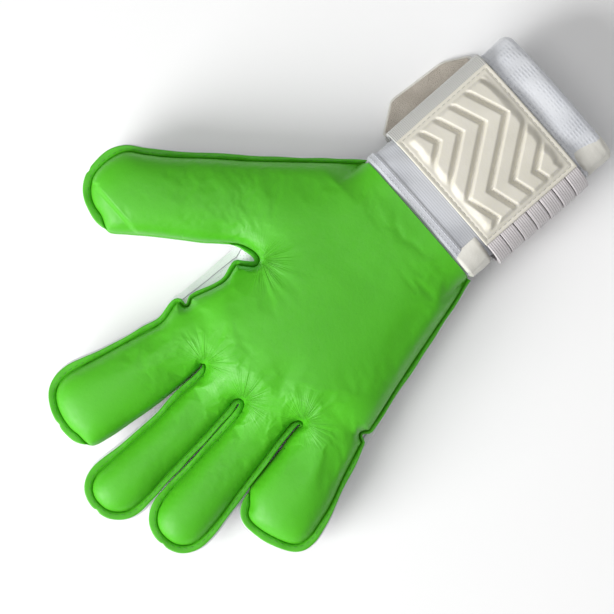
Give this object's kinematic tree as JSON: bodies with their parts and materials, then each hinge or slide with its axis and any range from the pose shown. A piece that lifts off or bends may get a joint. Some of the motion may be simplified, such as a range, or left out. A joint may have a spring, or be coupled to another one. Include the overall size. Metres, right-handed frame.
{
  "type": "goalkeeper glove",
  "caption": "Right-hand goalkeeper glove with a latex palm, bending finger stalls, mesh gussets, an elastic cuff and a wrap-round hook-and-loop wrist strap.",
  "frame": {"origin": "bottom centre of the glove's bounding box, on the plane on which the glove lies", "axes": "+Z out of the palm, +Y from the wrist to the fingertips, +X to the thumb side"},
  "size_m": [0.1962, 0.2866, 0.046],
  "materials": {
    "palm_latex": "satin foam",
    "back_foam": "matt foam",
    "gusset_mesh": "air mesh",
    "foam_backing": "laminated foam",
    "cuff_knit": "ribbed knit",
    "strap_latex": "embossed satin",
    "strap_elastic": "ribbed elastic",
    "strap_trim": "woven tape",
    "hook_loop": "fuzzy"
  },
  "bodies": {
    "hand": {"palm_latex": "palm_latex", "palm_backing": "foam_backing", "backhand": "back_foam", "punch_panel": "back_foam", "ulnar_gusset": "gusset_mesh", "radial_gusset": "gusset_mesh", "web_gusset": "gusset_mesh", "finger_webs": "gusset_mesh", "cuff_palm_side": "cuff_knit", "cuff_back_side": "cuff_knit", "cuff_hem": "cuff_knit", "wrist_tape": "strap_trim", "loop_patch": "hook_loop", "seam_trim": "strap_trim", "strap_edge_binding": "strap_elastic"},
    "index_base": {"index_base_latex": "palm_latex", "index_base_back": "back_foam", "index_base_gusset": "gusset_mesh"},
    "index_tip": {"index_tip_latex": "palm_latex", "index_tip_back": "back_foam", "index_tip_gusset": "gusset_mesh"},
    "middle_base": {"middle_base_latex": "palm_latex", "middle_base_back": "back_foam", "middle_base_gusset": "gusset_mesh"},
    "middle_tip": {"middle_tip_latex": "palm_latex", "middle_tip_back": "back_foam", "middle_tip_gusset": "gusset_mesh"},
    "ring_base": {"ring_base_latex": "palm_latex", "ring_base_back": "back_foam", "ring_base_gusset": "gusset_mesh"},
    "ring_tip": {"ring_tip_latex": "palm_latex", "ring_tip_back": "back_foam", "ring_tip_gusset": "gusset_mesh"},
    "little_base": {"little_base_latex": "palm_latex", "little_base_back": "back_foam", "little_base_gusset": "gusset_mesh"},
    "little_tip": {"little_tip_latex": "palm_latex", "little_tip_back": "back_foam", "little_tip_gusset": "gusset_mesh"},
    "thumb_base": {"thumb_base_latex": "palm_latex", "thumb_base_back": "back_foam", "thumb_base_gusset": "gusset_mesh"},
    "thumb_tip": {"thumb_tip_latex": "palm_latex", "thumb_tip_back": "back_foam", "thumb_tip_gusset": "gusset_mesh"},
    "strap_front": {"strap_base": "strap_elastic", "strap_panel": "strap_latex", "elastic_bands": "strap_elastic"},
    "strap_back": {"strap_back": "strap_elastic", "hook_tape": "hook_loop"},
    "strap_tab": {"tab_shell": "strap_trim", "tab_hook_tape": "hook_loop"}
  },
  "joints": [
    {"name": "index_knuckle", "type": "hinge", "parent": "hand", "child": "index_base", "pos_m": [0.0065, 0.06764, 0.021], "axis": [0.989, -0.1478, 0], "range_deg": [0, 45], "stiffness_Nm_per_rad": 0.05},
    {"name": "index_middle_joint", "type": "hinge", "parent": "index_base", "child": "index_tip", "pos_m": [0.01064, 0.09533, 0.021], "axis": [0.989, -0.1478, 0], "range_deg": [0, 60], "stiffness_Nm_per_rad": 0.03},
    {"name": "middle_knuckle", "type": "hinge", "parent": "hand", "child": "middle_base", "pos_m": [-0.02048, 0.06871, 0.021], "axis": [0.998, 0.0628, 0], "range_deg": [0, 45], "stiffness_Nm_per_rad": 0.05},
    {"name": "middle_middle_joint", "type": "hinge", "parent": "middle_base", "child": "middle_tip", "pos_m": [-0.02249, 0.10065, 0.021], "axis": [0.998, 0.0628, 0], "range_deg": [0, 60], "stiffness_Nm_per_rad": 0.03},
    {"name": "ring_knuckle", "type": "hinge", "parent": "hand", "child": "ring_base", "pos_m": [-0.04637, 0.06011, 0.021], "axis": [0.9848, 0.1736, 0], "range_deg": [0, 45], "stiffness_Nm_per_rad": 0.05},
    {"name": "ring_middle_joint", "type": "hinge", "parent": "ring_base", "child": "ring_tip", "pos_m": [-0.05158, 0.08965, 0.021], "axis": [0.9848, 0.1736, 0], "range_deg": [0, 60], "stiffness_Nm_per_rad": 0.03},
    {"name": "little_knuckle", "type": "hinge", "parent": "hand", "child": "little_base", "pos_m": [-0.07242, 0.04298, 0.021], "axis": [0.9563, 0.2924, 0], "range_deg": [0, 45], "stiffness_Nm_per_rad": 0.05},
    {"name": "little_middle_joint", "type": "hinge", "parent": "little_base", "child": "little_tip", "pos_m": [-0.07914, 0.06497, 0.021], "axis": [0.9563, 0.2924, 0], "range_deg": [0, 60], "stiffness_Nm_per_rad": 0.03},
    {"name": "thumb_knuckle", "type": "hinge", "parent": "hand", "child": "thumb_base", "pos_m": [0.04427, 0.0051, 0.021], "axis": [0.682, -0.7314, 0], "range_deg": [0, 45], "stiffness_Nm_per_rad": 0.05},
    {"name": "thumb_middle_joint", "type": "hinge", "parent": "thumb_base", "child": "thumb_tip", "pos_m": [0.06768, 0.02692, 0.021], "axis": [0.682, -0.7314, 0], "range_deg": [0, 60], "stiffness_Nm_per_rad": 0.03},
    {"name": "panel_lift", "type": "hinge", "parent": "hand", "child": "strap_front", "pos_m": [0.01072, -0.09877, 0.0413], "axis": [0, 1, 0], "range_deg": [0, 30]},
    {"name": "strap_peel", "type": "hinge", "parent": "strap_front", "child": "strap_back", "pos_m": [-0.06008, -0.09877, 0.019], "axis": [0, 1, 0], "range_deg": [0, 150]},
    {"name": "tab_flex", "type": "hinge", "parent": "strap_back", "child": "strap_tab", "pos_m": [0.01572, -0.09877, 0.0015], "axis": [0, -1, 0], "range_deg": [0, 40], "stiffness_Nm_per_rad": 0.01}
  ],
  "couplings": [
    {"joint": "panel_lift", "follows": "strap_peel", "ratio": 0.2}
  ]
}
